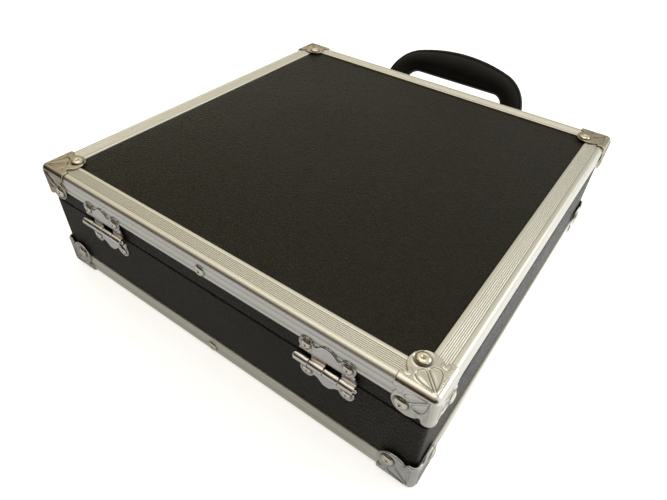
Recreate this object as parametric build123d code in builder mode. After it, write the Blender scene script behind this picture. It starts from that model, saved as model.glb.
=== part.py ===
"""Poker chip case: a square leatherette-covered case with aluminium trims, steel corner caps,
two butterfly hinges, two flap latches and a swinging carrying handle.

Origin: middle of the overall outline, handle included, on the surface the case lies on. +Z up,
+Y the hinge side, -Y the front with the handle and the latches. Millimetres. Every piece is
drawn about the middle of the square case and moved along Y to the frame when it is saved.
"""
import os
from math import cos, radians, sin, sqrt

from build123d import *

# ---------------------------------------------------------------- driving dimensions
case_w = 292.0          # square outline over the aluminium trims
case_h = 85.6           # over the corner caps
case_y = 21.85          # middle of the square case, from the middle of the overall outline
seam_z = 59.2           # middle of the gap between base and lid
seam_gap = 0.8

cap_t = 1.2             # corner caps stand this far proud of the trims
trim_t = 1.2            # wall of the trim extrusion
skin_t = 0.6            # leatherette
panel_t = 4.0           # floor and top boards
base_wall_t = 6.0
lid_wall_t = 5.5        # thinner, so that the lid passes outside the base liner

trim_edge_r = 4.0       # rounded outer edge of the trims
seam_edge_r = 1.0       # leatherette turned over the rims
panel_flange = 14.0     # ribbed flange, on the top and on the bottom
lid_side_flange = 13.0
base_side_flange = 14.0
rib_count = 6
rib_pitch = 1.05
rib_width = 0.45
rib_depth = 0.25
rib_start = 5.4         # first groove, from the outer edge

cap_reach = 22.8        # reach of a corner cap along an edge
lid_cap_drop = 21.6     # height of a lid cap's side faces
base_cap_rise = 23.2    # height of a base cap's side faces
cap_nail_inset = (5.6, 6.4)   # nail, back from the far ends of a cap's face

hinge_x = 88.0
hinge_out = 2.0         # barrel axis, out from the trim face
leaf_t = 1.0
leaf_half_w = 17.2
lobe_x = 12.6
lobe_z = 11.2
lobe_r = 4.9
hump_z = 16.8
notch_x = 7.6
notch_z = 12.0
barrel_r = 2.7
barrel_l = 37.0
knuckles = 4
knuckle_gap = 0.4
upper_foot = 5.2        # plate edge of the lid leaf, above the barrel axis
lower_foot = 3.4        # plate edge of the base leaf, below the barrel axis
hinge_pin_r = 1.2
run_fit = 0.05          # radial clearance of a pin in its hole

handle_half_w = 69.0
handle_reach = 66.0
handle_corner_r = 36.0
handle_crown_r = 150.0   # gentle curve of the grip's outer edge
grip_depth = 26.0
arm_w = 21.0
handle_t = 13.0
handle_round = 4.2
hole_corner_r = 10.0
handle_tilt = 57.0      # degrees above the horizontal, as the case stands
pivot_z = 42.0
pivot_out = 8.6         # pivot axis, out from the trim face
lug_w = 7.2
lug_r = 5.5
slot_gap = 0.4
handle_pin_r = 2.0
bracket_w = 24.0
bracket_h = 34.0
bracket_t = 1.5
bracket_rivet_z = 12.0

latch_x = 100.0
latch_w = 26.0
latch_axis_z = 67.0
latch_axis_out = 2.2    # flap axis, out from the trim face
latch_barrel_r = 2.2
latch_pin_r = 0.9
latch_plate_t = 1.0
latch_plate_top = 81.0
latch_rivet_x = 8.0
flap_t = 1.2
flap_w = 21.0
flap_foot_z = 39.0
tab_z = 42.5            # where the thumb tab starts to lean out
tab_lean = 4.0
keeper_low = 40.5
keeper_top = 56.5
stud_z = 48.5
stud_r = 3.4
stud_gap = 0.7
stud_proud = 1.4        # stud, out from the flap's face

nail_head_r = 3.9
nail_head_h = 1.5
nail_shank_r = 1.1
nail_length = 5.5
rivet_head_r = 3.0
rivet_head_h = 1.2
rivet_length = 5.0
drill_gap = 0.05

liner_t = 1.5
liner_rise = 4.4        # liner standing above the base rim, inside the lid
tray_gap = 0.4
tray_top_z = 47.0
chip_rows = 6
row_pitch = 44.0
row_r = 20.75           # for 40 mm chips
row_l = 172.0
tray_wall = 6.0
deck_bay_w = 92.0
dice_bay_w = 64.0
bay_depth = 32.0
pad_t = 9.0
pad_gap = 0.7

# ---------------------------------------------------------------- derived dimensions
trim_half = case_w / 2
cap_half = trim_half + cap_t
skin_half = trim_half - trim_t
board_half = skin_half - skin_t
trim_low = cap_t
trim_high = case_h - cap_t
skin_low = trim_low + trim_t
skin_high = trim_high - trim_t
board_low = skin_low + skin_t
board_high = skin_high - skin_t
base_rim = seam_z - seam_gap / 2
lid_rim = seam_z + seam_gap / 2
base_inner = board_half - base_wall_t
lid_inner = board_half - lid_wall_t
floor_z = board_low + panel_t
ceiling_z = board_high - panel_t
skin_edge_r = trim_edge_r - trim_t
board_edge_r = skin_edge_r - skin_t
cap_edge_r = trim_edge_r + cap_t
hinge_y = trim_half + hinge_out
pivot_y = -(trim_half + pivot_out)
latch_y = -(trim_half + latch_axis_out)
lug_x = handle_half_w - arm_w / 2
stud_top = latch_y - flap_t / 2 - stud_proud
knuckle_l = (barrel_l - (knuckles - 1) * knuckle_gap) / knuckles

SIDES = {"back": 0, "left": 90, "front": 180, "right": 270}
CORNERS = {"back_right": (1, 1), "back_left": (-1, 1), "front_left": (-1, -1), "front_right": (1, -1)}

os.makedirs("parts", exist_ok=True)


# ---------------------------------------------------------------- helpers
def save(part, name):
    """Move a finished piece to the frame, label it and write it as one STEP."""
    placed = part.moved(Location((0, case_y, 0)))
    placed.label = name
    export_step(placed, f"parts/{name}.step")


def rounded_block(half, z_low, z_high, radius, closed_end):
    """Square block; its upright edges and those of its closed end (+1 top, -1 bottom, 0 both) are round."""
    with BuildPart() as block:
        with Locations((0, 0, (z_low + z_high) / 2)):
            Box(2 * half, 2 * half, z_high - z_low)
        ends = block.faces().filter_by(Axis.Z).sort_by(Axis.Z)
        rounded = block.edges().filter_by(Axis.Z)
        if closed_end <= 0:
            rounded += ends[0].edges()
        if closed_end >= 0:
            rounded += ends[-1].edges()
        fillet(rounded, radius)
    return block.part


def outward(x, y, z, normal):
    """Place on an outside face, with local Z pointing out of it."""
    return Plane(origin=(x, y, z), z_dir=normal).location


def dome_fastener(head_r, head_h, length):
    """Round-headed nail or rivet; its head stands on local Z = 0 and its shank points down."""
    with BuildPart() as fastener:
        with BuildSketch(Plane.XZ):
            with BuildLine():
                Line((0, 0), (head_r, 0))
                Spline((head_r, 0), (head_r * 0.72, head_h * 0.72), (0, head_h),
                       tangents=((0, 1), (-1, 0)))
                Line((0, head_h), (0, 0))
            make_face()
        revolve(axis=Axis.Z)
        Cylinder(nail_shank_r, length, align=(Align.CENTER, Align.CENTER, Align.MAX))
    return fastener.part


def drill(sites, radius=nail_shank_r + drill_gap):
    """Clearance holes for the fasteners at these sites, in the piece being built."""
    with Locations(*sites):
        Cylinder(radius, 2 * nail_length, mode=Mode.SUBTRACT)


def fastener_group(name, fastener, sites):
    """Identical fasteners as one group of solids."""
    with BuildPart() as group:
        with Locations(*sites):
            add(fastener)
    save(group.part, name)


# ---------------------------------------------------------------- fastener sites
def cap_nail_sites(z_corner, z_sign, side_h):
    """Nails through the caps' faces: those in their side faces, then those in their flat faces."""
    near, far = cap_nail_inset
    along = cap_half - (cap_reach - near)
    level = z_corner - z_sign * (side_h - far)
    side_sites = []
    flat_sites = []
    for sx, sy in CORNERS.values():
        side_sites.append(outward(sx * along, sy * cap_half, level, (0, sy, 0)))
        side_sites.append(outward(sx * cap_half, sy * along, level, (sx, 0, 0)))
        flat_sites.append(outward(sx * along, sy * along, z_corner, (0, 0, z_sign)))
    return side_sites, flat_sites


def trim_nail_sites(z):
    """One nail, in the middle of the hinge side."""
    return [outward(0, trim_half, z, (0, 1, 0))]


lid_side_sites, lid_flat_sites = cap_nail_sites(case_h, 1, lid_cap_drop)
base_side_sites, foot_sites = cap_nail_sites(0, -1, base_cap_rise)
lid_cap_sites = lid_side_sites + lid_flat_sites
lid_trim_sites = trim_nail_sites(trim_high - lid_side_flange + nail_head_r)
base_trim_sites = trim_nail_sites(trim_low + base_side_flange / 2)
lid_hinge_sites = [
    outward(sx * hinge_x + lobe * lobe_x, trim_half + leaf_t, seam_z + lobe_z, (0, 1, 0))
    for sx in (1, -1) for lobe in (1, -1)
]
base_hinge_sites = [
    outward(sx * hinge_x + lobe * lobe_x, skin_half + leaf_t, seam_z - lobe_z, (0, 1, 0))
    for sx in (1, -1) for lobe in (1, -1)
]
lid_latch_sites = [
    outward(sx * latch_x + side * latch_rivet_x, -trim_half - latch_plate_t,
            (latch_axis_z + latch_plate_top) / 2 + 1.5, (0, -1, 0))
    for sx in (1, -1) for side in (1, -1)
]
base_latch_sites = [
    outward(sx * latch_x + side * latch_rivet_x, -skin_half - latch_plate_t, stud_z, (0, -1, 0))
    for sx in (1, -1) for side in (1, -1)
]
bracket_sites = [
    outward(sx * lug_x, -skin_half - bracket_t, pivot_z + up * bracket_rivet_z, (0, -1, 0))
    for sx in (1, -1) for up in (1, -1)
]
lid_sites = lid_cap_sites + lid_trim_sites + lid_hinge_sites + lid_latch_sites
base_sites = base_side_sites + foot_sites + base_trim_sites + base_hinge_sites + base_latch_sites + bracket_sites

# ---------------------------------------------------------------- boards
base_block = rounded_block(board_half, board_low, base_rim - skin_t, board_edge_r, -1)
lid_block = rounded_block(board_half, lid_rim + skin_t, board_high, board_edge_r, 1)


def board(name, block, sites, x_range, y_range, z_range):
    """One plank of the carcass, cut from its rounded block and drilled for the fasteners."""
    size = [high - low for low, high in (x_range, y_range, z_range)]
    middle = [(high + low) / 2 for low, high in (x_range, y_range, z_range)]
    with BuildPart() as plank:
        add(block)
        with Locations(tuple(middle)):
            Box(*size, mode=Mode.INTERSECT)
        drill(sites)
    save(plank.part, name)


def carcass(prefix, block, sites, inner, panel_name, panel_z, wall_z):
    """A panel and four walls; the front and back walls run the full width."""
    full = (-board_half, board_half)
    between = (-inner, inner)
    board(f"{prefix}_{panel_name}_board", block, sites, full, full, panel_z)
    board(f"{prefix}_back_board", block, sites, full, (inner, board_half), wall_z)
    board(f"{prefix}_front_board", block, sites, full, (-board_half, -inner), wall_z)
    board(f"{prefix}_right_board", block, sites, (inner, board_half), between, wall_z)
    board(f"{prefix}_left_board", block, sites, (-board_half, -inner), between, wall_z)


carcass("base", base_block, base_sites, base_inner, "floor", (board_low, floor_z), (floor_z, base_rim - skin_t))
carcass("lid", lid_block, lid_sites, lid_inner, "top", (ceiling_z, board_high), (lid_rim + skin_t, ceiling_z))


# ---------------------------------------------------------------- leatherette
def leatherette(name, block, sites, z_low, z_high, closed_end, inner):
    """Covering over the outside of a carcass and over its rim."""
    outer = rounded_block(skin_half, z_low, z_high, skin_edge_r, closed_end)
    with BuildPart() as skin:
        add(outer)
        rim = skin.faces().filter_by(Axis.Z).sort_by(Axis.Z)[0 if closed_end > 0 else -1]
        fillet(rim.edges(), seam_edge_r)
        add(block, mode=Mode.SUBTRACT)
        with Locations((0, 0, lid_rim if closed_end > 0 else base_rim)):
            Box(2 * inner, 2 * inner, 4 * skin_t, mode=Mode.SUBTRACT)
        drill(sites)
    save(skin.part, name)


leatherette("base_leatherette", base_block, base_sites, skin_low, base_rim, -1, base_inner)
leatherette("lid_leatherette", lid_block, lid_sites, lid_rim, skin_high, 1, lid_inner)


# ---------------------------------------------------------------- aluminium trims
trim_block = rounded_block(trim_half, trim_low, trim_high, trim_edge_r, 0)
skin_block = rounded_block(skin_half, skin_low, skin_high, skin_edge_r, 0)


def trim(name, turn, z_outer, z_sign, side_flange, sites):
    """Mitred L extrusion along one edge; fine grooves run along its top or bottom flange."""
    with BuildPart() as extrusion:
        with BuildSketch(Plane.YZ):
            with Locations((trim_half - panel_flange / 2, z_outer - z_sign * side_flange / 2)):
                Rectangle(panel_flange, side_flange)
            for rib in range(rib_count):
                with Locations((trim_half - rib_start - rib * rib_pitch, z_outer)):
                    Rectangle(rib_width, 2 * rib_depth, mode=Mode.SUBTRACT)
        extrude(amount=trim_half, both=True)
        split(bisect_by=Plane(origin=(0, 0, 0), z_dir=(1, 1, 0)), keep=Keep.TOP)
        split(bisect_by=Plane(origin=(0, 0, 0), z_dir=(-1, 1, 0)), keep=Keep.TOP)
        add(trim_block, mode=Mode.INTERSECT)
        add(skin_block, mode=Mode.SUBTRACT)
    with BuildPart() as placed:
        with Locations(Rotation(0, 0, turn)):
            add(extrusion.part)
        drill(sites)
    save(placed.part, name)


for side, angle in SIDES.items():
    trim(f"lid_trim_{side}", angle, trim_high, 1, lid_side_flange, lid_sites)
    trim(f"base_trim_{side}", angle, trim_low, -1, base_side_flange, base_sites)


# ---------------------------------------------------------------- corner caps
def cap_outline(width, height):
    """Lobed outline of one face of a cap, its corner at the local origin."""
    lobe = 7.2
    notch = 3.3
    tip = 2.3
    end = 3.6
    ease = 0.4
    with BuildLine() as outline:
        Line((0, 0), (width, 0))
        Line((width, 0), (width, end))
        ThreePointArc((width, end), (width - ease, 6.0), (width - notch, lobe))
        ThreePointArc((width - notch, lobe), (width - tip, height - tip), (lobe, height - notch))
        ThreePointArc((lobe, height - notch), (6.0, height - ease), (end, height))
        Line((end, height), (0, height))
        Line((0, height), (0, 0))
    return outline.edges()


cap_shell = rounded_block(cap_half, 0, case_h, cap_edge_r, 0) - trim_block


def corner_cap(z_corner, z_sign, side_h):
    """Cap of the +X +Y corner: three lobed faces of one pressed sheet."""
    corner = (cap_half, cap_half, z_corner)
    flat_outline = cap_outline(cap_reach, cap_reach)
    side_outline = cap_outline(cap_reach, side_h)
    flat_x = (-1, 0, 0) if z_sign > 0 else (0, -1, 0)
    with BuildPart() as cap:
        with BuildSketch(Plane(origin=corner, x_dir=flat_x, z_dir=(0, 0, z_sign))):
            make_face(flat_outline)
        extrude(amount=-cap_edge_r)
        with BuildSketch(Plane(origin=corner, x_dir=(-1, 0, 0), z_dir=(0, -z_sign, 0))):
            make_face(side_outline)
        extrude(amount=z_sign * cap_edge_r)
        with BuildSketch(Plane(origin=corner, x_dir=(0, -1, 0), z_dir=(z_sign, 0, 0))):
            make_face(side_outline)
        extrude(amount=-z_sign * cap_edge_r)
        add(cap_shell, mode=Mode.INTERSECT)
    return cap.part


def place_caps(prefix, master, sites, sunk_sites):
    """Mirror one cap to the four corners; its sunk sites take flush nail heads."""
    for corner_name, (sx, sy) in CORNERS.items():
        placed = master
        if sx < 0:
            placed = placed.mirror(Plane.YZ)
        if sy < 0:
            placed = placed.mirror(Plane.XZ)
        with BuildPart() as cap:
            add(placed)
            drill(sites)
            if sunk_sites:
                drill(sunk_sites, nail_head_r + drill_gap)
        save(cap.part, f"{prefix}_cap_{corner_name}")


place_caps("lid", corner_cap(case_h, 1, lid_cap_drop), lid_cap_sites, [])
place_caps("base", corner_cap(0, -1, base_cap_rise), base_side_sites, foot_sites)


# ---------------------------------------------------------------- butterfly hinges
def knuckle_starts(centre_x, first):
    """Left ends of every second knuckle, counted from the -X end of the barrel."""
    pitch = knuckle_l + knuckle_gap
    return [centre_x - barrel_l / 2 + index * pitch for index in range(first, knuckles, 2)]


def hinge_leaf(name, centre_x, up, back_y, foot, reach, first, sites):
    """Lobed plate with its half of the knuckles; up is +1 on the lid and -1 on the base."""
    starts = knuckle_starts(centre_x, first)
    with BuildPart() as leaf:
        with BuildSketch(Plane.XZ.offset(-back_y)):
            with BuildLine():
                Polyline(
                    (centre_x - leaf_half_w, seam_z + up * foot),
                    (centre_x - leaf_half_w, seam_z + up * lobe_z),
                    (centre_x - notch_x, seam_z + up * notch_z),
                    (centre_x, seam_z + up * hump_z),
                    (centre_x + notch_x, seam_z + up * notch_z),
                    (centre_x + leaf_half_w, seam_z + up * lobe_z),
                    (centre_x + leaf_half_w, seam_z + up * foot),
                    close=True,
                )
            make_face()
            with Locations(*[(centre_x + lobe * lobe_x, seam_z + up * lobe_z) for lobe in (1, -1)]):
                Circle(lobe_r)
            with Locations(*[(start + knuckle_l / 2, seam_z + up * (foot + reach) / 2) for start in starts]):
                Rectangle(knuckle_l, foot - reach)
        extrude(amount=-leaf_t)
        for start in starts:
            with BuildSketch(Plane.YZ.offset(start)):
                with Locations((hinge_y, seam_z)):
                    Circle(barrel_r)
            extrude(amount=knuckle_l)
        with BuildSketch(Plane.YZ.offset(centre_x - barrel_l / 2)):
            with Locations((hinge_y, seam_z)):
                Circle(hinge_pin_r + run_fit)
        extrude(amount=barrel_l, mode=Mode.SUBTRACT)
        drill(sites)
    save(leaf.part, name)


def hinge_pin(name, centre_x):
    """Pin through the barrel, headed against the base leaf's end knuckle."""
    head_l = 1.0
    head_r = 2.0
    tail = 1.3
    with BuildPart() as pin:
        with BuildSketch(Plane.YZ.offset(centre_x - barrel_l / 2 - tail)):
            with Locations((hinge_y, seam_z)):
                Circle(hinge_pin_r)
        extrude(amount=barrel_l + tail)
        with BuildSketch(Plane.YZ.offset(centre_x + barrel_l / 2)):
            with Locations((hinge_y, seam_z)):
                Circle(head_r)
        extrude(amount=head_l)
    save(pin.part, name)


for side, x in (("right", hinge_x), ("left", -hinge_x)):
    hinge_leaf(f"hinge_{side}_lid_leaf", x, 1, trim_half, upper_foot, 0.5, 0, lid_hinge_sites)
    hinge_leaf(f"hinge_{side}_base_leaf", x, -1, skin_half, lower_foot, 0.0, 1, base_hinge_sites)
    hinge_pin(f"hinge_{side}_pin", x)

# ---------------------------------------------------------------- carrying handle
tilt = radians(handle_tilt)
handle_plane = Plane(origin=(0, pivot_y, pivot_z), x_dir=(1, 0, 0), z_dir=(0, -sin(tilt), -cos(tilt)))

with BuildPart() as handle:
    hole_top = handle_reach - grip_depth
    hole_half = handle_half_w - arm_w
    crown_y = handle_reach - handle_crown_r
    corner_x = handle_half_w - handle_corner_r
    straight = crown_y + sqrt((handle_crown_r - handle_corner_r) ** 2 - corner_x**2)
    share = handle_crown_r / (handle_crown_r - handle_corner_r)
    meet_x = corner_x * share
    meet_y = crown_y + (straight - crown_y) * share
    with BuildSketch(handle_plane):
        with BuildLine():
            Line((-handle_half_w, 0), (-handle_half_w, straight))
            RadiusArc((-handle_half_w, straight), (-meet_x, meet_y), handle_corner_r)
            RadiusArc((-meet_x, meet_y), (meet_x, meet_y), handle_crown_r)
            RadiusArc((meet_x, meet_y), (handle_half_w, straight), handle_corner_r)
            Line((handle_half_w, straight), (handle_half_w, 0))
            Line((handle_half_w, 0), (hole_half, 0))
            Line((hole_half, 0), (hole_half, hole_top - hole_corner_r))
            RadiusArc((hole_half, hole_top - hole_corner_r), (hole_half - hole_corner_r, hole_top), -hole_corner_r)
            Line((hole_half - hole_corner_r, hole_top), (hole_corner_r - hole_half, hole_top))
            RadiusArc((hole_corner_r - hole_half, hole_top), (-hole_half, hole_top - hole_corner_r), -hole_corner_r)
            Line((-hole_half, hole_top - hole_corner_r), (-hole_half, 0))
            Line((-hole_half, 0), (-handle_half_w, 0))
        make_face()
    extrude(amount=handle_t / 2, both=True)
    broad = handle.faces().group_by(Axis(origin=(0, 0, 0), direction=tuple(handle_plane.z_dir)))
    outline = broad[0].edges() + broad[-1].edges()
    fillet([edge for edge in outline if handle_plane.to_local_coords(edge.center()).Y > 1], handle_round)
    for sx in (1, -1):
        with BuildSketch(Plane.YZ.offset(sx * lug_x - arm_w / 2)):
            with Locations((pivot_y, pivot_z)):
                Circle(handle_t / 2)
        extrude(amount=arm_w)
        with Locations(handle_plane.location * Location((sx * lug_x, 1.0, 0))):
            Box(lug_w + 2 * slot_gap, 16.0, 2 * handle_t, mode=Mode.SUBTRACT)
    with BuildSketch(Plane.YZ.offset(-handle_half_w)):
        with Locations((pivot_y, pivot_z)):
            Circle(handle_pin_r + run_fit)
    extrude(amount=2 * handle_half_w, mode=Mode.SUBTRACT)
save(handle.part, "handle_grip")

for side, sx in (("right", 1), ("left", -1)):
    with BuildPart() as bracket:
        with BuildSketch(Plane.XZ.offset(skin_half)):
            with Locations((sx * lug_x, pivot_z)):
                RectangleRounded(bracket_w, bracket_h, 4.0)
        extrude(amount=bracket_t)
        with BuildSketch(Plane.YZ.offset(sx * lug_x - lug_w / 2)):
            with Locations((pivot_y, pivot_z)):
                Circle(lug_r)
            with Locations(((pivot_y - skin_half - bracket_t / 2) / 2, pivot_z)):
                Rectangle(-pivot_y - skin_half - bracket_t / 2, 2 * lug_r)
        extrude(amount=lug_w)
        with BuildSketch(Plane.YZ.offset(sx * lug_x - lug_w / 2)):
            with Locations((pivot_y, pivot_z)):
                Circle(handle_pin_r + drill_gap)
        extrude(amount=lug_w, mode=Mode.SUBTRACT)
        drill(bracket_sites)
    save(bracket.part, f"handle_bracket_{side}")

with BuildPart() as handle_pins:
    for sx in (1, -1):
        with BuildSketch(Plane.YZ.offset(sx * lug_x - arm_w / 2 + 0.8)):
            with Locations((pivot_y, pivot_z)):
                Circle(handle_pin_r)
        extrude(amount=arm_w - 1.6)
save(handle_pins.part, "handle_pins")


# ---------------------------------------------------------------- flap latches
def latch_rod(x_low, x_high, radius, mode=Mode.ADD):
    """Round bar on the flap's axis."""
    with Locations(((x_low + x_high) / 2, latch_y, latch_axis_z)):
        Cylinder(radius, x_high - x_low, rotation=(0, 90, 0), mode=mode)


def latch(side, x):
    """Plate on the lid, flap hanging over the seam, and a keeper with a stud on the base."""
    end_l = (latch_w - flap_w / 2 - 2 * knuckle_gap) / 2
    low = x - latch_w / 2
    high = x + latch_w / 2
    with BuildPart() as plate:
        with BuildSketch(Plane.XZ.offset(trim_half)):
            with Locations((x, (latch_axis_z + 3.4 + latch_plate_top) / 2)):
                RectangleRounded(latch_w, latch_plate_top - latch_axis_z - 3.4, 2.4)
            with Locations(*[(end, latch_axis_z + 4.0) for end in (low + end_l / 2, high - end_l / 2)]):
                Rectangle(end_l, 8.0)
        extrude(amount=latch_plate_t)
        latch_rod(low, low + end_l, latch_barrel_r)
        latch_rod(high - end_l, high, latch_barrel_r)
        latch_rod(low, high, latch_pin_r + drill_gap, Mode.SUBTRACT)
        drill(lid_latch_sites)
    save(plate.part, f"latch_{side}_plate")

    face_y = latch_y - flap_t / 2
    with BuildPart() as flap:
        with BuildSketch(Plane.YZ.offset(x - flap_w / 2)):
            with BuildLine():
                Polyline(
                    (face_y, latch_axis_z - latch_barrel_r - 1.2), (face_y, tab_z),
                    (face_y - tab_lean, flap_foot_z), (face_y - tab_lean + flap_t, flap_foot_z),
                    (face_y + flap_t, tab_z), (face_y + flap_t, latch_axis_z - latch_barrel_r - 1.2),
                    close=True,
                )
            make_face()
        extrude(amount=flap_w)
        with BuildSketch(Plane.XZ.offset(-face_y - flap_t)):
            with Locations((x, latch_axis_z - latch_barrel_r)):
                Rectangle(flap_w / 2, 2 * latch_barrel_r + 0.4)
        extrude(amount=flap_t)
        latch_rod(x - flap_w / 4, x + flap_w / 4, latch_barrel_r)
        latch_rod(low, high, latch_pin_r + run_fit, Mode.SUBTRACT)
        with BuildSketch(Plane.XZ.offset(skin_half)):
            with Locations((x, stud_z)):
                Circle(stud_r + stud_gap)
        extrude(amount=2 * latch_axis_out + flap_t + 2, mode=Mode.SUBTRACT)
    save(flap.part, f"latch_{side}_flap")

    with BuildPart() as pin:
        latch_rod(low, high, latch_pin_r)
        latch_rod(high, high + 0.8, 1.6)
    save(pin.part, f"latch_{side}_pin")

    with BuildPart() as keeper:
        with BuildSketch(Plane.XZ.offset(skin_half)):
            with Locations((x, (keeper_low + keeper_top) / 2)):
                RectangleRounded(latch_w, keeper_top - keeper_low, 2.4)
        extrude(amount=latch_plate_t)
        with BuildSketch(Plane.XZ.offset(skin_half)):
            with Locations((x, stud_z)):
                Circle(stud_r)
        extrude(amount=-stud_top - skin_half)
        fillet(keeper.faces().sort_by(Axis.Y)[0].edges(), 1.0)
        drill(base_latch_sites)
    save(keeper.part, f"latch_{side}_keeper")


latch("right", latch_x)
latch("left", -latch_x)

# ---------------------------------------------------------------- nails and rivets
nail = dome_fastener(nail_head_r, nail_head_h, nail_length)
rivet = dome_fastener(rivet_head_r, rivet_head_h, rivet_length)
with BuildPart() as flush:
    Cylinder(nail_head_r, cap_t, align=(Align.CENTER, Align.CENTER, Align.MAX))
    Cylinder(nail_shank_r, nail_length, align=(Align.CENTER, Align.CENTER, Align.MAX))
flush_nail = flush.part
fastener_group("lid_corner_nails", nail, lid_cap_sites)
fastener_group("base_corner_nails", nail, base_side_sites)
fastener_group("base_foot_nails", flush_nail, foot_sites)
fastener_group("lid_trim_nails", nail, lid_trim_sites)
fastener_group("base_trim_nails", nail, base_trim_sites)
fastener_group("lid_hinge_rivets", rivet, lid_hinge_sites)
fastener_group("base_hinge_rivets", rivet, base_hinge_sites)
fastener_group("lid_latch_rivets", rivet, lid_latch_sites)
fastener_group("base_latch_rivets", rivet, base_latch_sites)
fastener_group("handle_bracket_rivets", rivet, bracket_sites)

# ---------------------------------------------------------------- inside
liner_top = base_rim + liner_rise
with BuildPart() as liner:
    with Locations((0, 0, (floor_z + liner_top) / 2)):
        Box(2 * base_inner, 2 * base_inner, liner_top - floor_z)
        Box(2 * (base_inner - liner_t), 2 * (base_inner - liner_t), liner_top - floor_z, mode=Mode.SUBTRACT)
save(liner.part, "base_liner")

tray_half = base_inner - liner_t - tray_gap
tray_h = tray_top_z - floor_z
rack_l = row_l + 2 * tray_wall
rack_mid_y = tray_half - rack_l / 2
with BuildPart() as rack:
    with Locations((0, rack_mid_y, (floor_z + tray_top_z) / 2)):
        Box(2 * tray_half, rack_l, tray_h)
    with Locations((0, rack_mid_y, tray_top_z)):
        with GridLocations(row_pitch, 0, chip_rows, 1):
            Cylinder(row_r, row_l, rotation=(90, 0, 0), mode=Mode.SUBTRACT)
save(rack.part, "chip_rack")

card_high_y = tray_half - rack_l - tray_gap
card_l = card_high_y + tray_half
card_mid_y = card_high_y - card_l / 2
divider = (2 * tray_half - 2 * deck_bay_w - dice_bay_w) / 4
with BuildPart() as card_tray:
    with Locations((0, card_mid_y, (floor_z + tray_top_z) / 2)):
        Box(2 * tray_half, card_l, tray_h)
    x_edge = -tray_half + divider
    for bay_w in (deck_bay_w, dice_bay_w, deck_bay_w):
        with Locations((x_edge + bay_w / 2, card_mid_y, tray_top_z)):
            Box(bay_w, card_l - 2 * tray_wall, 2 * bay_depth, mode=Mode.SUBTRACT)
        x_edge += bay_w + divider
save(card_tray.part, "card_tray")

pad_half = lid_inner - pad_gap
with BuildPart() as pad:
    with Locations((0, 0, ceiling_z - pad_t / 2)):
        Box(2 * pad_half, 2 * pad_half, pad_t)
save(pad.part, "lid_pad")
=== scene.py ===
import math

import bmesh
import bpy
import numpy as np
from mathutils import Matrix, Vector, geometry


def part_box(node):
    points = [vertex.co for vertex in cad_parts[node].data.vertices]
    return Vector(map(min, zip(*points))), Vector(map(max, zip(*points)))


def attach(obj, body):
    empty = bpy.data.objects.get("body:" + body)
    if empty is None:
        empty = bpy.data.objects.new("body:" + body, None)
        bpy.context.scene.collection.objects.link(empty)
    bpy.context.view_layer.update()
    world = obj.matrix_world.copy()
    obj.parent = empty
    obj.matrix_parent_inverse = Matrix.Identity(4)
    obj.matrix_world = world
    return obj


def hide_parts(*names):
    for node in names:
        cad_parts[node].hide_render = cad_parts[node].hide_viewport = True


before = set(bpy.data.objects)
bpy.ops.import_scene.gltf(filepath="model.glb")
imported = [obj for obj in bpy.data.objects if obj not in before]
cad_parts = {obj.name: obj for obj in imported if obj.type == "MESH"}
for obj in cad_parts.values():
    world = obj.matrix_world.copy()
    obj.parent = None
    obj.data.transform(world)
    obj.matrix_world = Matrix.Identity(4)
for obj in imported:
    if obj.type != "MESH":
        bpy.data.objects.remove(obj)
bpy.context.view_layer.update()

MM = 0.001
SIDES = {"back": 0.0, "left": 90.0, "front": 180.0, "right": 270.0}
CORNERS = {"back_right": (1, 1), "back_left": (-1, 1), "front_left": (-1, -1), "front_right": (1, -1)}
TARNISHED_CAPS = ("lid_cap_back_right", "lid_cap_front_left", "lid_cap_front_right")

base_low, base_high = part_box("base_leatherette")
CASE_Y = (base_low.y + base_high.y) / 2 / MM
BASE_BACK = base_high.y / MM
CAP_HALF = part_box("lid_cap_back_right")[1].x / MM
TRIM_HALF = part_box("lid_trim_right")[1].x / MM


# ---------------------------------------------------------------- node materials
def scaled(colour, share):
    """The colour made darker or lighter."""
    return tuple(channel * share for channel in colour)


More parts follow.
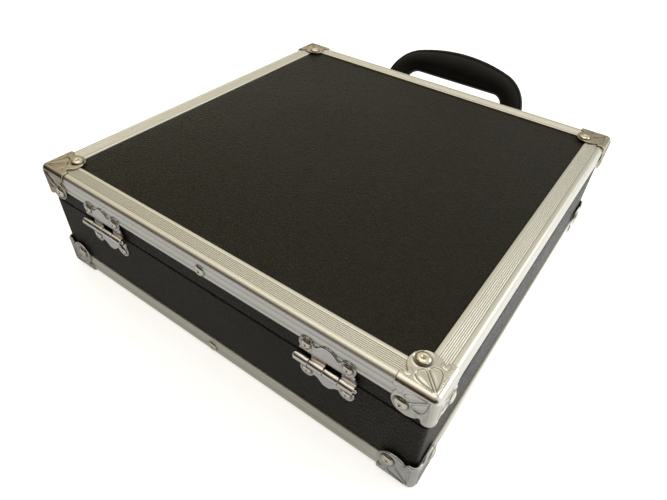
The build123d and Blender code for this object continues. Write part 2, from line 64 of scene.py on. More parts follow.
class Surface:
    """A Principled material and short ways to add the nodes that drive it."""

    def __init__(self, name, colour, **sockets):
        self.material = bpy.data.materials.new(name)
        self.material.use_nodes = True
        self.tree = self.material.node_tree
        self.shader = self.tree.nodes["Principled BSDF"]
        self.material.diffuse_color = (*colour, 1.0)
        self.shader.inputs["Base Color"].default_value = (*colour, 1.0)
        for socket, value in sockets.items():
            self.shader.inputs[socket.replace("_", " ")].default_value = value

    def node(self, kind, settings=(), **inputs):
        made = self.tree.nodes.new(kind)
        for key, value in dict(settings).items():
            setattr(made, key, value)
        for key, value in inputs.items():
            self.feed(made.inputs[key.replace("_", " ")], value)
        return made

    def feed(self, socket, value):
        if isinstance(value, bpy.types.NodeSocket):
            self.tree.links.new(value, socket)
        else:
            socket.default_value = value

    def place(self, scale):
        """Object position in metres, times a scale for each axis."""
        where = self.node("ShaderNodeTexCoord").outputs["Object"]
        return self.node("ShaderNodeMapping", Vector=where, Scale=scale).outputs["Vector"]

    def noise(self, scale, detail=3.0, rough=0.5, stretch=(1.0, 1.0, 1.0)):
        made = self.node(
            "ShaderNodeTexNoise", Vector=self.place(stretch), Scale=scale, Detail=detail, Roughness=rough)
        return made.outputs["Fac"]

    def math(self, operation, first, second):
        made = self.tree.nodes.new("ShaderNodeMath")
        made.operation = operation
        self.feed(made.inputs[0], first)
        self.feed(made.inputs[1], second)
        return made.outputs[0]

    def remap(self, value, low, high, to_low, to_high):
        made = self.tree.nodes.new("ShaderNodeMapRange")
        for socket, number in zip(made.inputs, (value, low, high, to_low, to_high)):
            self.feed(socket, number)
        return made.outputs[0]

    def blend(self, factor, first, second):
        made = self.tree.nodes.new("ShaderNodeMix")
        made.data_type = "RGBA"
        self.feed(made.inputs[0], factor)
        self.feed(made.inputs[6], first if isinstance(first, bpy.types.NodeSocket) else (*first, 1.0))
        self.feed(made.inputs[7], second if isinstance(second, bpy.types.NodeSocket) else (*second, 1.0))
        return made.outputs[2]

    def bump(self, height, distance, strength=1.0, normal=None):
        made = self.node("ShaderNodeBump", Height=height, Distance=distance, Strength=strength)
        if normal is not None:
            self.feed(made.inputs["Normal"], normal)
        return made.outputs["Normal"]

    def drive(self, **sockets):
        for socket, value in sockets.items():
            self.feed(self.shader.inputs[socket.replace("_", " ")], value)
        return self.material


def leatherette(name):
    """Black-brown embossed covering: pebbles about 1.7 mm across, split by finer creases."""
    pebbles_per_metre = 560.0
    pores_per_metre = 1500.0
    s = Surface(name, (0.015, 0.0125, 0.0075), Roughness=0.42, Specular_IOR_Level=0.2)
    warp = s.node("ShaderNodeTexNoise", Vector=s.place((1, 1, 1)), Scale=330.0, Detail=2.0)
    shift = s.node("ShaderNodeVectorMath", {"operation": "SCALE"}, Scale=0.0011)
    s.feed(shift.inputs[0], warp.outputs["Color"])
    where = s.node("ShaderNodeVectorMath", {"operation": "ADD"})
    s.feed(where.inputs[0], s.place((1, 1, 1)))
    s.feed(where.inputs[1], shift.outputs[0])
    cells = s.node(
        "ShaderNodeTexVoronoi", {"feature": "SMOOTH_F1"},
        Vector=where.outputs[0], Scale=pebbles_per_metre, Smoothness=0.35)
    creases = s.node(
        "ShaderNodeTexVoronoi", {"feature": "DISTANCE_TO_EDGE"},
        Vector=where.outputs[0], Scale=pebbles_per_metre)
    pores = s.node("ShaderNodeTexVoronoi", {"feature": "F1"}, Vector=where.outputs[0], Scale=pores_per_metre)
    crease = s.remap(creases.outputs["Distance"], 0.0, 0.16, 0.0, 1.0)
    pebble = s.math("SUBTRACT", 1.0, cells.outputs["Distance"])
    height = s.math("MULTIPLY", pebble, crease)
    height = s.math("ADD", height, s.math("MULTIPLY", pores.outputs["Distance"], -0.22))
    height = s.math("ADD", height, s.math("MULTIPLY", s.noise(70.0, 3.0), 0.5))
    patches = s.noise(7.0, 4.0, 0.6)
    scuffs = s.remap(s.noise(55.0, 6.0, 0.7), 0.6, 0.78, 0.0, 0.35)
    tone = s.blend(patches, (0.0115, 0.0095, 0.0045), (0.0195, 0.016, 0.0078))
    # Painted shade: the creases between the pebbles are coloured darker.
    tone = s.blend(s.remap(crease, 0.0, 1.0, 0.7, 0.0), tone, (0.003, 0.0025, 0.002))
    tone = s.blend(scuffs, tone, (0.03, 0.026, 0.017))
    rough = s.math("ADD", s.remap(patches, 0.3, 0.7, 0.34, 0.44), s.remap(crease, 0.0, 1.0, 0.2, 0.0))
    return s.drive(Base_Color=tone, Roughness=rough, Normal=s.bump(height, 0.00036, 1.0))


def aluminium(name, stretch):
    """Satin extrusion: die lines run along it, the stretch's short axis."""
    s = Surface(name, (0.76, 0.75, 0.685), Metallic=1.0, Roughness=0.34)
    lines = s.noise(1.0, 4.0, 0.65, stretch)
    streaks = s.noise(0.22, 2.0, 0.5, stretch)
    blotch = s.noise(24.0, 3.0)
    specks = s.remap(s.noise(900.0, 2.0), 0.7, 0.82, 0.0, 0.3)
    tone = s.blend(lines, (0.65, 0.64, 0.58), (0.83, 0.82, 0.75))
    tone = s.blend(s.remap(blotch, 0.35, 0.75, 0.0, 0.22), tone, (0.66, 0.62, 0.54))
    tone = s.blend(specks, tone, (0.4, 0.37, 0.32))
    # Painted shade: the hollow attribute colours the groove bottoms between the ribs darker.
    grooves = s.node("ShaderNodeAttribute", {"attribute_name": "hollow"}).outputs["Fac"]
    tone = s.blend(grooves, tone, (0.16, 0.145, 0.12))
    rough = s.math("ADD", s.remap(streaks, 0.3, 0.7, 0.31, 0.41), s.remap(blotch, 0.3, 0.8, 0.0, 0.08))
    return s.drive(Base_Color=tone, Roughness=rough, Normal=s.bump(lines, 0.00003, 0.5))


def plated(name, light, dark, rough_low, rough_high, hollow_shade=True):
    """Nickel-plated pressed steel: soft rolling marks, fine scratches, painted shade in the pressed hollows.
    """
    s = Surface(name, light, Metallic=1.0, Roughness=rough_low)
    rolled = s.noise(1.0, 3.0, 0.6, (260.0, 420.0, 300.0))
    scratch = s.remap(s.noise(1.0, 5.0, 0.7, (2600.0, 240.0, 900.0)), 0.6, 0.72, 0.0, 1.0)
    blotch = s.noise(95.0, 4.0, 0.6)
    tone = s.blend(s.remap(blotch, 0.35, 0.75, 0.0, 0.5), light, dark)
    # Painted shade: where the hollow attribute is set, the pressed hollows are coloured darker.
    if hollow_shade:
        relief = s.node("ShaderNodeAttribute", {"attribute_name": "hollow"}).outputs["Fac"]
        tone = s.blend(relief, tone, scaled(dark, 0.32))
    rough = s.math("ADD", s.remap(rolled, 0.3, 0.7, rough_low, rough_high), s.math("MULTIPLY", scratch, 0.12))
    height = s.math("ADD", rolled, s.math("MULTIPLY", scratch, -0.5))
    return s.drive(Base_Color=tone, Roughness=rough, Normal=s.bump(height, 0.00004, 0.5))


def moulded(name, colour, rough_low, rough_high):
    """Black moulded plastic with a fine spark-eroded texture and handling marks."""
    s = Surface(name, colour, Roughness=rough_low, Specular_IOR_Level=0.2)
    grain = s.noise(1900.0, 2.0, 0.6)
    rubbed = s.noise(38.0, 5.0, 0.65)
    tone = s.blend(s.remap(rubbed, 0.4, 0.75, 0.0, 1.0), colour, scaled(colour, 2.1))
    return s.drive(
        Base_Color=tone,
        Roughness=s.remap(rubbed, 0.3, 0.7, rough_low, rough_high),
        Normal=s.bump(s.math("ADD", grain, s.math("MULTIPLY", s.noise(300.0), 0.8)), 0.00005, 0.5),
    )


def flock(name, colour):
    """Short-pile flocking: soft sheen, fibres that lie in slightly different directions."""
    s = Surface(name, colour, Roughness=0.95, Specular_IOR_Level=0.15, Sheen_Weight=0.5, Sheen_Roughness=0.45)
    s.shader.inputs["Sheen Tint"].default_value = (0.6, 0.6, 0.66, 1.0)
    fibres = s.noise(5200.0, 3.0, 0.8)
    brushed = s.noise(30.0, 4.0, 0.6, (1.0, 2.6, 1.6))
    lint = s.remap(s.noise(1300.0, 1.0), 0.77, 0.82, 0.0, 0.35)
    tone = s.blend(brushed, scaled(colour, 0.6), scaled(colour, 1.8))
    tone = s.blend(lint, tone, (0.16, 0.16, 0.17))
    return s.drive(Base_Color=tone, Normal=s.bump(fibres, 0.0002, 0.7))


def woven(name, colour):
    """Plain-weave lining cloth, threads about 0.5 mm apart in every plane it lies in."""
    radians_per_metre = 6283.0
    s = Surface(name, colour, Roughness=0.85, Specular_IOR_Level=0.25, Sheen_Weight=0.35, Sheen_Roughness=0.5)
    split = s.node("ShaderNodeSeparateXYZ", Vector=s.place((radians_per_metre,) * 3))
    waves = [s.math("SINE", split.outputs[axis], 0.0) for axis in range(3)]
    weave = s.math("MAXIMUM", s.math("MULTIPLY", waves[0], waves[1]), s.math("MULTIPLY", waves[2], 0.8))
    slub = s.noise(1.0, 3.0, 0.6, (1500.0, 90.0, 400.0))
    # Painted light and shade: raised threads are coloured lighter, the threads between them darker.
    lift = s.remap(weave, -1.0, 1.0, 0.0, 1.0)
    tone = s.blend(lift, scaled(colour, 0.55), scaled(colour, 1.7))
    tone = s.blend(s.remap(slub, 0.55, 0.75, 0.0, 0.5), tone, scaled(colour, 2.4))
    return s.drive(Base_Color=tone, Normal=s.bump(s.math("ADD", weave, slub), 0.00012, 0.6))


def fibreboard(name):
    """Pressed fibreboard faced with black paper: mottled, with short paler fibres."""
    s = Surface(name, (0.03, 0.028, 0.026), Roughness=0.8)
    fibres = s.noise(1.0, 5.0, 0.7, (900.0, 260.0, 620.0))
    mottle = s.noise(60.0, 4.0)
    tone = s.blend(fibres, (0.018, 0.017, 0.016), (0.048, 0.043, 0.038))
    tone = s.blend(s.remap(mottle, 0.3, 0.7, 0.0, 0.4), tone, (0.012, 0.011, 0.01))
    rough = s.remap(fibres, 0.3, 0.7, 0.7, 0.92)
    return s.drive(Base_Color=tone, Roughness=rough, Normal=s.bump(fibres, 0.0002, 0.6))


LEATHER = leatherette("leatherette_black")
TRIM_ALONG_X = aluminium("aluminium_along_x", (14.0, 2400.0, 2400.0))
TRIM_ALONG_Y = aluminium("aluminium_along_y", (2400.0, 14.0, 2400.0))
CAP_STEEL = plated("cap_plating", (0.74, 0.72, 0.66), (0.55, 0.53, 0.46), 0.13, 0.25)
TARNISHED_CAP_STEEL = plated("cap_plating_tarnished", (0.5, 0.45, 0.35), (0.22, 0.18, 0.12), 0.16, 0.3)
# A darker, rougher copy of the cap plating, used on the base caps.
BASE_CAP_STEEL = plated("cap_plating_base", (0.6, 0.595, 0.58), (0.36, 0.35, 0.33), 0.2, 0.34)
HINGE_STEEL = plated("hinge_plating", (0.76, 0.73, 0.7), (0.56, 0.535, 0.5), 0.13, 0.25)
FASTENER_STEEL = plated("fastener_plating", (0.84, 0.79, 0.66), (0.6, 0.54, 0.42), 0.1, 0.2)
LATCH_STEEL = plated("latch_plating", (0.82, 0.8, 0.77), (0.63, 0.61, 0.57), 0.15, 0.28, hollow_shade=False)
HANDLE_BLACK = moulded("handle_moulding", (0.0045, 0.0043, 0.0036), 0.36, 0.5)
FLOCK = flock("black_flock", (0.012, 0.012, 0.014))
LINING = woven("lining_cloth", (0.016, 0.016, 0.018))
PAD_CLOTH = woven("pad_cloth", (0.019, 0.019, 0.022))
BOARD = fibreboard("papered_board")


# ---------------------------------------------------------------- mesh helpers
def new_mesh(name, verts, faces, crease, hollow=None):
    """Welded, outward-facing mesh with smooth shading that breaks at edges sharper than the crease."""
    mesh = bpy.data.meshes.new(name)
    mesh.from_pydata([tuple(v) for v in verts], [], faces)
    if hollow is not None:
        layer = mesh.attributes.new("hollow", "FLOAT", "POINT")
        layer.data.foreach_set("value", np.asarray(hollow, np.float32))
    work = bmesh.new()
    work.from_mesh(mesh)
    bmesh.ops.remove_doubles(work, verts=work.verts, dist=2e-6)
    bmesh.ops.dissolve_degenerate(work, edges=work.edges, dist=1e-7)
    bmesh.ops.recalc_face_normals(work, faces=work.faces)
    work.to_mesh(mesh)
    work.free()
    mesh.shade_smooth()
    mesh.set_sharp_from_angle(angle=math.radians(crease))
    return mesh


def new_piece(name, verts, faces, material, body, nodes, crease=38.0, hollow=None):
    """A shown piece that rides on a body and stands for CAD nodes."""
    piece = bpy.data.objects.new(name, new_mesh(name, verts, faces, crease, hollow))
    bpy.context.scene.collection.objects.link(piece)
    piece.data.materials.append(material)
    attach(piece, body)
    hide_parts(*nodes)
    return piece


class Builder:
    """Collects vertices and faces of several shells that make one piece."""

    def __init__(self):
        self.verts = []
        self.faces = []
        self.hollow = []

    def add(self, verts, faces, hollow=None):
        start = len(self.verts)
        self.verts.extend(tuple(v) for v in verts)
        self.faces.extend([start + i for i in face] for face in faces)
        self.hollow.extend(hollow if hollow is not None else [0.0] * len(verts))

    def lathe(self, profile, origin, axis, steps=40, hollow=None):
        """Turns (radius, height) points about an axis; ends that aren't on the axis get a face."""
        axis = Vector(axis).normalized()
        side = axis.orthogonal().normalized()
        other = axis.cross(side)
        verts = []
        for radius, height in profile:
            for step in range(steps):
                turn = 2 * math.pi * step / steps
                spoke = side * math.cos(turn) + other * math.sin(turn)
                verts.append(Vector(origin) + axis * height + spoke * radius)
        faces = ring_faces(len(profile), steps, close_rows=False)
        if profile[0][0] > 0:
            faces.append(list(range(steps)))
        if profile[-1][0] > 0:
            last = (len(profile) - 1) * steps
            faces.append([last + step for step in range(steps)])
        self.add(verts, faces, [value for value in hollow for _ in range(steps)] if hollow else None)

    def prism(self, outline, first, second):
        """Closed solid between two placements of one outline; each placement maps (a, b) to a point."""
        count = len(outline)
        verts = [first(a, b) for a, b in outline] + [second(a, b) for a, b in outline]
        faces = ring_faces(2, count, close_rows=False)
        self.add(verts, faces + [list(range(count)), list(range(count, 2 * count))])


def ring_faces(rows, columns, close_rows):
    """Quads of a grid whose columns close on themselves, and whose rows do too if asked."""
    faces = []
    for row in range(rows if close_rows else rows - 1):
        upper = (row + 1) % rows
        for column in range(columns):
            after = (column + 1) % columns
            here, above = row * columns, upper * columns
            faces.append([here + column, here + after, above + after, above + column])
    return faces


def ease(value):
    """Smooth step from 0 to 1."""
    value = np.clip(value, 0.0, 1.0)
    return value * value * (3.0 - 2.0 * value)


def inside_distance(px, py, polygon):
    """Distance to a closed polygon's edge, positive inside it."""
    nearest = np.full(px.shape, 1e9)
    inside = np.zeros(px.shape, bool)
    for (x0, y0), (x1, y1) in zip(polygon, polygon[1:] + polygon[:1]):
        ex, ey = x1 - x0, y1 - y0
        along = np.clip(((px - x0) * ex + (py - y0) * ey) / (ex * ex + ey * ey + 1e-12), 0.0, 1.0)
        nearest = np.minimum(nearest, np.hypot(px - x0 - along * ex, py - y0 - along * ey))
        if abs(ey) > 1e-9:
            crosses = (y0 <= py) != (y1 <= py)
            inside ^= crosses & (px < x0 + (py - y0) / ey * ex)
    return np.where(inside, nearest, -nearest)


def arc(centre, radius, start, end, steps):
    """Points of an arc, angles in degrees."""
    return [
        (centre[0] + radius * math.cos(math.radians(start + (end - start) * i / steps)),
         centre[1] + radius * math.sin(math.radians(start + (end - start) * i / steps)))
        for i in range(steps + 1)
    ]


def spline(points, steps=6):
    """Catmull-Rom curve through open points."""
    padded = [points[0]] + list(points) + [points[-1]]
    curve = []
    for i in range(1, len(padded) - 2):
        p0, p1, p2, p3 = (np.array(p, float) for p in padded[i - 1:i + 3])
        for step in range(steps):
            t = step / steps
            curve.append(tuple(0.5 * (2 * p1 + (p2 - p0) * t + (2 * p0 - 5 * p1 + 4 * p2 - p3) * t * t
                                      + (3 * p1 - p0 - 3 * p2 + p3) * t ** 3)))
    return curve + [tuple(points[-1])]


def islands(node):
    """Boxes of the separate solids of a CAD node, in millimetres."""
    work = bmesh.new()
    work.from_mesh(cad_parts[node].data)
    bmesh.ops.remove_doubles(work, verts=work.verts, dist=1e-6)
    seen = set()
    boxes = []
    for seed in work.verts:
        if seed.index in seen:
            continue
        seen.add(seed.index)
        stack = [seed]
        points = []
        while stack:
            vert = stack.pop()
            points.append(vert.co / MM)
            for edge in vert.link_edges:
                other = edge.other_vert(vert)
                if other.index not in seen:
                    seen.add(other.index)
                    stack.append(other)
        cloud = np.array(points)
        boxes.append((cloud.min(0), cloud.max(0)))
    work.free()
    return boxes


# ---------------------------------------------------------------- aluminium trims
def trim_profile(side_flange):
    """Section of the extrusion as (inset from the side face, drop from the flat face)."""
    edge, inner_edge = 3.4, 2.2
    turns = [math.radians(a) for a in range(0, 91, 9)]
    inner_turns = [math.radians(a) for a in range(15, 91, 15)]
    points = [(0.5, side_flange), (0.12, side_flange - 0.1), (0.0, side_flange - 0.45)]
    for groove in (side_flange - 2.3, 5.4):
        points += [(0.0, groove + 0.3), (0.1, groove + 0.14), (0.1, groove - 0.14), (0.0, groove - 0.3)]
    points += [(edge - edge * math.cos(a), edge - edge * math.sin(a)) for a in turns]
    points += [(4.25, 0.04), (4.4, 0.26), (4.6, 0.34), (4.8, 0.26)]
    ribs, pitch, start = 6, 1.05, 4.86
    for rib in range(ribs):
        for part, depth in ((0.0, 0.3), (0.16, 0.14), (0.34, 0.03), (0.52, 0.0), (0.7, 0.03), (0.88, 0.14)):
            points.append((start + (rib + part) * pitch, depth))
    points += [(11.2, 0.3), (11.32, 0.1), (11.6, 0.0), (13.3, 0.0), (13.75, 0.12), (13.97, 0.45), (14.0, 1.2)]
    points += [(edge, 1.2)]
    points += [(edge - inner_edge * math.sin(a), edge - inner_edge * math.cos(a)) for a in inner_turns]
    points += [(1.2, side_flange)]
    return points


def trim(prefix, side, turn, side_flange):
    """One mitred extrusion; its sharp ends stop under the caps. The grooves between its ribs get painted
    shade, heavier on the left and right trims.
    """
    node = f"{prefix}_trim_{side}"
    low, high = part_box(node)
    level, fall = (high.z / MM, -1) if prefix == "lid" else (low.z / MM, 1)
    outline = trim_profile(side_flange)
    turned = Matrix.Rotation(math.radians(turn), 4, "Z")
    stations = 9
    # Painted shade for the groove bottoms between the ribs.
    hollow_shade = 0.45 if side in ("back", "front") else 0.85
    verts = []
    hollow = []
    for station in range(stations):
        along = 2.0 * station / (stations - 1) - 1.0
        for inset, drop in outline:
            hollow.append(hollow_shade if 4.5 < inset < 11.3 and 0.28 < drop < 0.35 else 0.0)
            half = min(TRIM_HALF - 4.6, TRIM_HALF - inset - 0.02)
            point = turned @ Vector((along * half, TRIM_HALF - inset, level + fall * drop))
            verts.append((point + Vector((0, CASE_Y, 0))) * MM)
    count = len(outline)
    faces = ring_faces(stations, count, close_rows=False)
    faces += [list(range(count)), list(range((stations - 1) * count, stations * count))]
    material = TRIM_ALONG_X if side in ("back", "front") else TRIM_ALONG_Y
    new_piece(f"{node}_profile", verts, faces, material, prefix, [node], crease=50.0, hollow=hollow)


for side, turn in SIDES.items():
    trim("lid", side, turn, 13.0)
    trim("base", side, turn, 14.0)


# ---------------------------------------------------------------- corner caps
def cap_outline(width, height):
    """Lobed edge of one cap face, from its end along u round to its end along v."""
    lobe, notch, tip, end, step = 7.2, 3.3, 2.3, 3.6, 0.4
    first = spline([(width, end), (width - step, 6.0), (width - notch, lobe)], 5)
    ax, ay = width - notch, lobe
    bx, by = width - tip, height - tip
    cx, cy = lobe, height - notch
    scale = 2 * (ax * (by - cy) + bx * (cy - ay) + cx * (ay - by))
    ox = ((ax**2 + ay**2) * (by - cy) + (bx**2 + by**2) * (cy - ay) + (cx**2 + cy**2) * (ay - by)) / scale
    oy = ((ax**2 + ay**2) * (cx - bx) + (bx**2 + by**2) * (ax - cx) + (cx**2 + cy**2) * (bx - ax)) / scale
    radius = math.hypot(ax - ox, ay - oy)
    start = math.degrees(math.atan2(ay - oy, ax - ox))
    finish = math.degrees(math.atan2(cy - oy, cx - ox))
    big = arc((ox, oy), radius, start, finish, 24)
    last = spline([(lobe, height - notch), (6.0, height - step), (end, height)], 5)
    return [(width, 0.0)] + first + big[1:-1] + last + [(0.0, height)]


def outline_reach(outline, angles):
    """Distance from the corner to the outline in each direction."""
    reach = np.zeros(len(angles))
    for k, angle in enumerate(angles):
        dx, dy = math.cos(angle), math.sin(angle)
        best = 0.0
        for (x0, y0), (x1, y1) in zip(outline, outline[1:]):
            ex, ey = x1 - x0, y1 - y0
            det = dx * -ey + dy * ex
            if abs(det) < 1e-12:
                continue
            t = (x0 * -ey + y0 * ex) / det
            s = (dx * y0 - dy * x0) / det
            if -1e-6 <= s <= 1 + 1e-6 and t > best:
                best = t
        reach[k] = best
    return reach


def cap_relief(u, v, outline, nail, depth):
    """Height of the pressed pattern over a cap face, and how much painted shade each point gets in its
    hollows.
    """
    drawn_nail = 17.2
    rope_pitch = 1.2
    su, sv = nail[0] / drawn_nail, nail[1] / drawn_nail
    x, y = u / su, v / sv
    leaf = [(4.5, 4.0), (8.0, 4.3), (12.2, 4.9), (15.4, 6.2), (16.7, 8.5),
            (16.1, 10.9), (14.2, 12.5), (12.2, 11.6), (9.0, 8.4), (6.4, 5.8)]
    leaf = spline(leaf + [leaf[0]], 4)[:-1]
    ends = [(17.7, 5.6), (19.4, 5.0), (21.0, 6.0), (20.8, 8.0), (19.2, 8.9), (17.8, 7.6)]
    ends = spline(ends + [ends[0]], 4)[:-1]
    height = np.zeros(u.shape)
    # Painted shade: darker in the leaf grooves, round the end lobes, between the rope's twists and in the
    # nail's dish.
    hollow = np.zeros(u.shape)
    for px, py in ((x, y), (y, x)):
        inside = inside_distance(px, py, leaf)
        height += -0.3 * ease((inside - 0.1) / 0.5) + 0.22 * np.exp(-(((inside + 0.25) / 0.38) ** 2))
        height += 0.2 * ease((inside - 0.9) / 1.8)
        hollow += 0.85 * np.exp(-(((inside - 0.35) / 0.28) ** 2))
        lobe = inside_distance(px, py, ends)
        height += 0.16 * ease((lobe + 0.3) / 0.9)
        hollow += 0.4 * np.exp(-(((lobe + 0.35) / 0.3) ** 2))
        rope = np.exp(-(((py - 3.75) / 0.32) ** 2)) * ease((px - 5.0) / 1.0) * ease((20.5 - px) / 1.0)
        twist = np.cos(2 * math.pi * px / rope_pitch)
        height += rope * (0.12 + 0.22 * twist)
        hollow += rope * (0.35 - 0.35 * twist)
    ring = np.hypot(u - nail[0], v - nail[1])
    height += -0.34 * ease((5.1 - ring) / 0.7) + 0.2 * np.exp(-(((ring - 5.3) / 0.4) ** 2))
    hollow += 0.8 * np.exp(-(((ring - 4.15) / 0.35) ** 2)) + 0.2 * np.exp(-(((ring - 4.9) / 0.3) ** 2))
    rim = inside_distance(u, v, [(-8.0, -8.0), (outline[0][0], -8.0)] + outline + [(-8.0, outline[-1][1])])
    fade = ease((u - 2.2) / 2.0) * ease((v - 2.2) / 2.0) * ease(rim / 0.5)
    height = depth * height * fade - 0.45 * (1.0 - ease(rim / 0.75)) ** 2
    return height, np.clip(hollow * fade * depth, 0.0, 1.0)


def corner_cap(prefix, corner, signs, side_height, nail_level):
    """Three pressed faces that share their rounded edges."""
    node = f"{prefix}_cap_{corner}"
    low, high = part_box(node)
    sx, sy = signs
    flat_z, rise = (high.z / MM, -1) if prefix == "lid" else (low.z / MM, 1)
    reach = (high.x - low.x) / MM
    edge = 4.2
    skirt = 1.1
    angles = np.linspace(0.0, math.pi / 2, 85)
    radial = np.linspace(0.0, 1.0, 79)
    parts = Builder()
    faces_made = (
        ((reach, reach), (17.2, 17.2), lambda u, v: (u, v, 0 * u), 1.0 if prefix == "lid" else 0.0),
        ((reach, side_height), (17.2, nail_level), lambda u, v: (u, 0 * u, v), 1.0),
        ((reach, side_height), (17.2, nail_level), lambda u, v: (0 * u, u, v), 1.0),
    )
    for (width, height), nail, to_box, depth in faces_made:
        outline = cap_outline(width, height)
        reaches = outline_reach(outline, angles)
        u = np.outer(radial, reaches * np.cos(angles))
        v = np.outer(radial, reaches * np.sin(angles))
        relief, hollow = cap_relief(u, v, outline, nail, depth)
        sharp = np.stack(to_box(u, v), -1)
        centre = np.maximum(sharp, edge)
        out = sharp - centre
        out /= np.linalg.norm(out, axis=-1, keepdims=True)
        shell = centre + out * (edge + relief[..., None])
        foot = centre[-1] + out[-1] * (edge - skirt)
        grid = np.concatenate([shell.reshape(-1, 3), foot])
        columns = len(angles)
        quads = []
        for row in range(len(radial)):
            for column in range(columns - 1):
                here = row * columns + column
                quads.append([here, here + 1, here + columns + 1, here + columns])
        points = np.stack([
            sx * (CAP_HALF - grid[:, 0]),
            sy * (CAP_HALF - grid[:, 1]) + CASE_Y,
            flat_z + rise * grid[:, 2],
        ], -1) * MM
        # Painted shade along the foot of each face, where the cap meets the covering.
        parts.add(points, quads, list(hollow.reshape(-1)) + [0.3] * columns)
    steel = CAP_STEEL if prefix == "lid" else BASE_CAP_STEEL
    if node in TARNISHED_CAPS:
        steel = TARNISHED_CAP_STEEL
    new_piece(f"{node}_pressing", parts.verts, parts.faces, steel, prefix, [node],
              crease=60.0, hollow=parts.hollow)


for corner, signs in CORNERS.items():
    corner_cap("lid", corner, signs, 21.6, 15.2)
    corner_cap("base", corner, signs, 23.2, 16.8)


# ---------------------------------------------------------------- nails and rivets
def fasteners(node, body, head_height):
    """Domed heads, slightly sunk in the middle, over the outer end of each CAD nail."""
    h = head_height
    shape = [(1.0, -0.4), (1.0, 0.1), (0.97, 0.26), (0.89, 0.46), (0.78, 0.65), (0.66, 0.81), (0.54, 0.92),
             (0.42, 0.965), (0.32, 0.86), (0.22, 0.62), (0.12, 0.46), (0.0, 0.42)]
    # Painted shade: these values darken the head's edge where it meets the surface, and its sunk middle.
    hollow = [0.95, 0.9, 0.7, 0.35, 0.1, 0.0, 0.0, 0.0, 0.1, 0.45, 0.7, 0.75]
    heads = Builder()
    for low, high in islands(node):
        size = high - low
        axis = int(np.argmax(np.abs(size - np.median(size))))
        normal = [0.0, 0.0, 0.0]
        middle = (low + high) / 2
        about = middle - np.array([0.0, CASE_Y, 45.0])
        normal[axis] = 1.0 if about[axis] > 0 else -1.0
        outer = high[axis] if normal[axis] > 0 else low[axis]
        base = middle.copy()
        base[axis] = outer - normal[axis] * head_height
        r = float(np.median(size)) / 2
        heads.lathe([(a * r * MM, b * h * MM) for a, b in shape], base * MM, normal, 36, hollow)
    new_piece(f"{node}_heads", heads.verts, heads.faces, FASTENER_STEEL, body, [node],
              crease=60.0, hollow=heads.hollow)


for node, body in (("lid_corner_nails", "lid"), ("base_corner_nails", "base"),
                   ("lid_trim_nails", "lid"), ("base_trim_nails", "base")):
    fasteners(node, body, 1.5)
for node, body in (("lid_hinge_rivets", "lid"), ("base_hinge_rivets", "base"), ("lid_latch_rivets", "lid"),
                   ("base_latch_rivets", "base"), ("handle_bracket_rivets", "base")):
    fasteners(node, body, 1.2)


# ---------------------------------------------------------------- butterfly hinges
def leaf_outline(foot):
    """Edge of a leaf as (across, away from the barrel), closed, starting at its +across foot."""
    half = [(17.2, foot), (17.2, foot + 1.6)] + arc((12.6, 11.2), 4.85, -38.0, 152.0, 22)
    half += spline([(8.1, 13.2), (7.2, 12.8), (5.6, 13.6), (3.9, 15.2), (2.0, 16.5), (0.0, 16.8)], 4)[1:-1]
    return half + [(0.0, 16.8)] + [(-x, w) for x, w in reversed(half)]


def leaf_relief(x, w, outline):
    """Height of a leaf's pressing, and the painted shade in its hollows and along its edge."""
    rim = inside_distance(x, w, outline)
    ring = np.minimum(np.hypot(x - 12.6, w - 11.2), np.hypot(x + 12.6, w - 11.2))
    height = -0.3 * ease((4.1 - ring) / 0.6) + 0.16 * np.exp(-(((ring - 4.35) / 0.3) ** 2))
    height += 0.1 * np.exp(-(((rim - 1.1) / 0.5) ** 2)) * ease((ring - 4.6) / 1.0) * ease((w - 7.2) / 1.0)
    height -= 0.5 * (1.0 - ease(rim / 0.7)) ** 2
    # Painted shade in the rings round the rivets and along the leaf's edge.
    hollow = 0.8 * np.exp(-(((ring - 3.3) / 0.3) ** 2)) + 0.3 * np.exp(-(((ring - 3.95) / 0.25) ** 2))
    hollow += 0.85 * (1.0 - ease(rim / 0.55))
    return height, np.clip(hollow, 0.0, 1.0)


